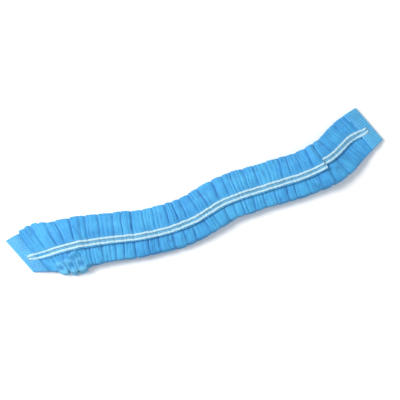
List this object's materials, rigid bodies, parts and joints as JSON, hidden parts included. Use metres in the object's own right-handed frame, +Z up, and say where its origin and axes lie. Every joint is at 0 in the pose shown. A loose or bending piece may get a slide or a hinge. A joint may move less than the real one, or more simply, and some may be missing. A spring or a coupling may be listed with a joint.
{
  "type": "folded strip cap",
  "caption": "Disposable cap of light blue nonwoven, pleated flat into a narrow gathered strip with fused ends and white elastic threads along its middle.",
  "frame": {"origin": "middle of the folded cap's box, on the surface that it lies on", "axes": "+X along the strip, +Y across it towards its back edge, +Z up from the surface; the hem's free edge on the upper face is on the front side, at -Y"},
  "size_m": [0.234, 0.0472, 0.0106],
  "materials": {
    "nonwoven_blue": "soft matt nonwoven, a little sheen",
    "elastic_white": "matt"
  },
  "bodies": {
    "root": {"cap_sheet": "nonwoven_blue", "upper_elastic_front": "elastic_white", "upper_elastic_back": "elastic_white", "lower_elastic_front": "elastic_white", "lower_elastic_back": "elastic_white"}
  },
  "joints": []
}
